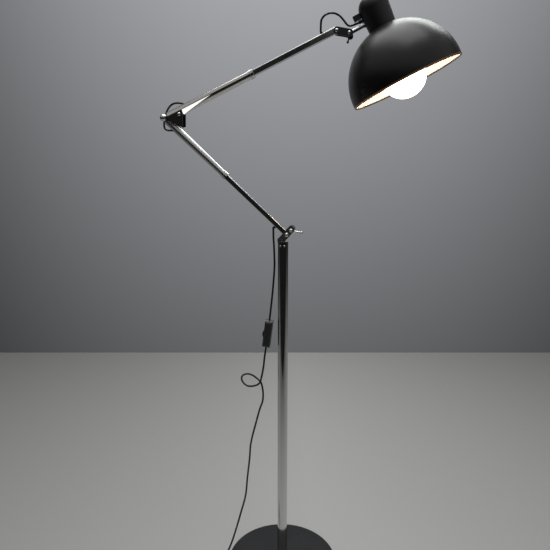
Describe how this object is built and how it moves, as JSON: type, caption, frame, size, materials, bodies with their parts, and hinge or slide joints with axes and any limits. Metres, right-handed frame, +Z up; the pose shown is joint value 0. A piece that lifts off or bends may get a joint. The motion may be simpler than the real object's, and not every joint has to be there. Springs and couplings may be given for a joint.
{
  "type": "adjustable arm floor lamp",
  "caption": "Floor lamp with a round base, a pole, a folding friction-held arm and a tilting dome shade with a globe bulb and an in-line switch.",
  "frame": {"origin": "centre of the round base on the floor, on the pole's axis", "axes": "+Z up along the pole; the folded arms lie in the XZ plane with the shade on the +X side and the elbow on the -X side; -Y is the side of the pivot screws' heads"},
  "size_m": [0.6639, 0.284, 1.3999],
  "materials": {
    "gloss_black": "gloss black lacquer",
    "satin_black": "satin black outside, white inside",
    "black_metal": "satin black",
    "chrome": "polished chrome",
    "iron": "rough cast",
    "steel": "plain turned steel",
    "foam": "matt",
    "bush": "natural nylon",
    "black_plastic": "matt black",
    "white_plastic": "matt white",
    "cord": "satin black flexible sleeve",
    "contact": "plain",
    "bulb_glass": "white coated inside",
    "bulb_metal": "pressed thread"
  },
  "bodies": {
    "root": {"base_cover": "gloss_black", "base_weight": "iron", "base_pad": "foam", "pole": "chrome", "foot_plug": "steel", "foot_bolt": "steel", "pole_cap": "chrome", "cap_screws": "chrome", "swivel_bush": "bush", "cord_floor": "cord", "cord_coil": "cord", "plug_body": "black_plastic", "plug_pins": "chrome"},
    "bracket": {"swivel_spigot": "chrome", "fork_front_cheek": "chrome", "fork_back_cheek": "chrome", "pivot_bolt": "chrome", "pivot_nut": "chrome", "clamp_bolt": "chrome", "switch_base": "black_plastic", "switch_cover": "black_plastic", "cord_drop": "cord"},
    "clamp_lever": {"clamp_lever": "chrome"},
    "rocker": {"switch_rocker": "black_plastic"},
    "lower_arm": {"lower_bar": "chrome", "lower_ferrule": "chrome", "lower_tube": "chrome", "lower_elbow_eye": "steel", "lower_cord_glands": "black_plastic", "lower_cable": "cord"},
    "upper_arm": {"elbow_front_plate": "black_metal", "elbow_back_plate": "black_metal", "elbow_block": "black_plastic", "elbow_screw": "chrome", "elbow_pin": "chrome", "elbow_nut": "chrome", "upper_tube": "chrome", "upper_ferrule": "chrome", "upper_bar": "chrome", "upper_cord_glands": "black_plastic", "upper_cable": "cord", "cord_elbow_loop": "cord", "cord_link_loop": "cord"},
    "link": {"link_front_plate": "black_metal", "link_back_plate": "black_metal", "link_screws": "chrome", "link_nut": "chrome"},
    "head_clamp": {"head_clamp": "black_plastic"},
    "head": {"head_rod": "chrome", "rod_nut": "steel", "socket_cap": "black_plastic", "cord_clamp": "black_plastic", "cap_gland": "black_plastic", "shade": "satin_black", "shade_ring": "white_plastic", "lamp_holder": "black_plastic", "holder_contacts": "contact", "bulb_globe": "bulb_glass", "bulb_cap": "bulb_metal", "cord_head_loop": "cord"}
  },
  "joints": [
    {"name": "swivel", "type": "hinge", "parent": "root", "child": "bracket", "pos_m": [0, 0, 0.83], "axis": [0, 0, 1], "range_deg": [-90, 90], "deforming": ["cord_floor"]},
    {"name": "lower_tilt", "type": "hinge", "parent": "bracket", "child": "lower_arm", "pos_m": [0.0095, 0, 0.886], "axis": [0, -1, 0], "range_deg": [-40, 30], "deforming": ["cord_drop"]},
    {"name": "elbow", "type": "hinge", "parent": "lower_arm", "child": "upper_arm", "pos_m": [-0.27695, 0, 1.15125], "axis": [0, -1, 0], "range_deg": [-24, 60], "deforming": ["cord_elbow_loop"]},
    {"name": "link_tilt", "type": "hinge", "parent": "upper_arm", "child": "link", "pos_m": [0.11523, 0, 1.32641], "axis": [0, -1, 0], "range_deg": [-40, 40], "deforming": ["cord_link_loop"]},
    {"name": "head_tilt", "type": "hinge", "parent": "link", "child": "head", "pos_m": [0.1422, 0, 1.32102], "axis": [0, 1, 0], "range_deg": [-60, 45], "deforming": ["cord_head_loop"]},
    {"name": "clamp_lever_turn", "type": "hinge", "parent": "bracket", "child": "clamp_lever", "pos_m": [0.0193, 0.015, 0.8962], "axis": [0, -1, 0], "range_deg": [0, 90]},
    {"name": "head_clamp_turn", "type": "hinge", "parent": "link", "child": "head_clamp", "pos_m": [0.1422, 0.015, 1.32102], "axis": [0, -1, 0], "range_deg": [-60, 90]},
    {"name": "switch_rock", "type": "hinge", "parent": "bracket", "child": "rocker", "pos_m": [-0.04276, 0, 0.64274], "axis": [0, 1, 0], "range_deg": [-12, 0]}
  ]
}
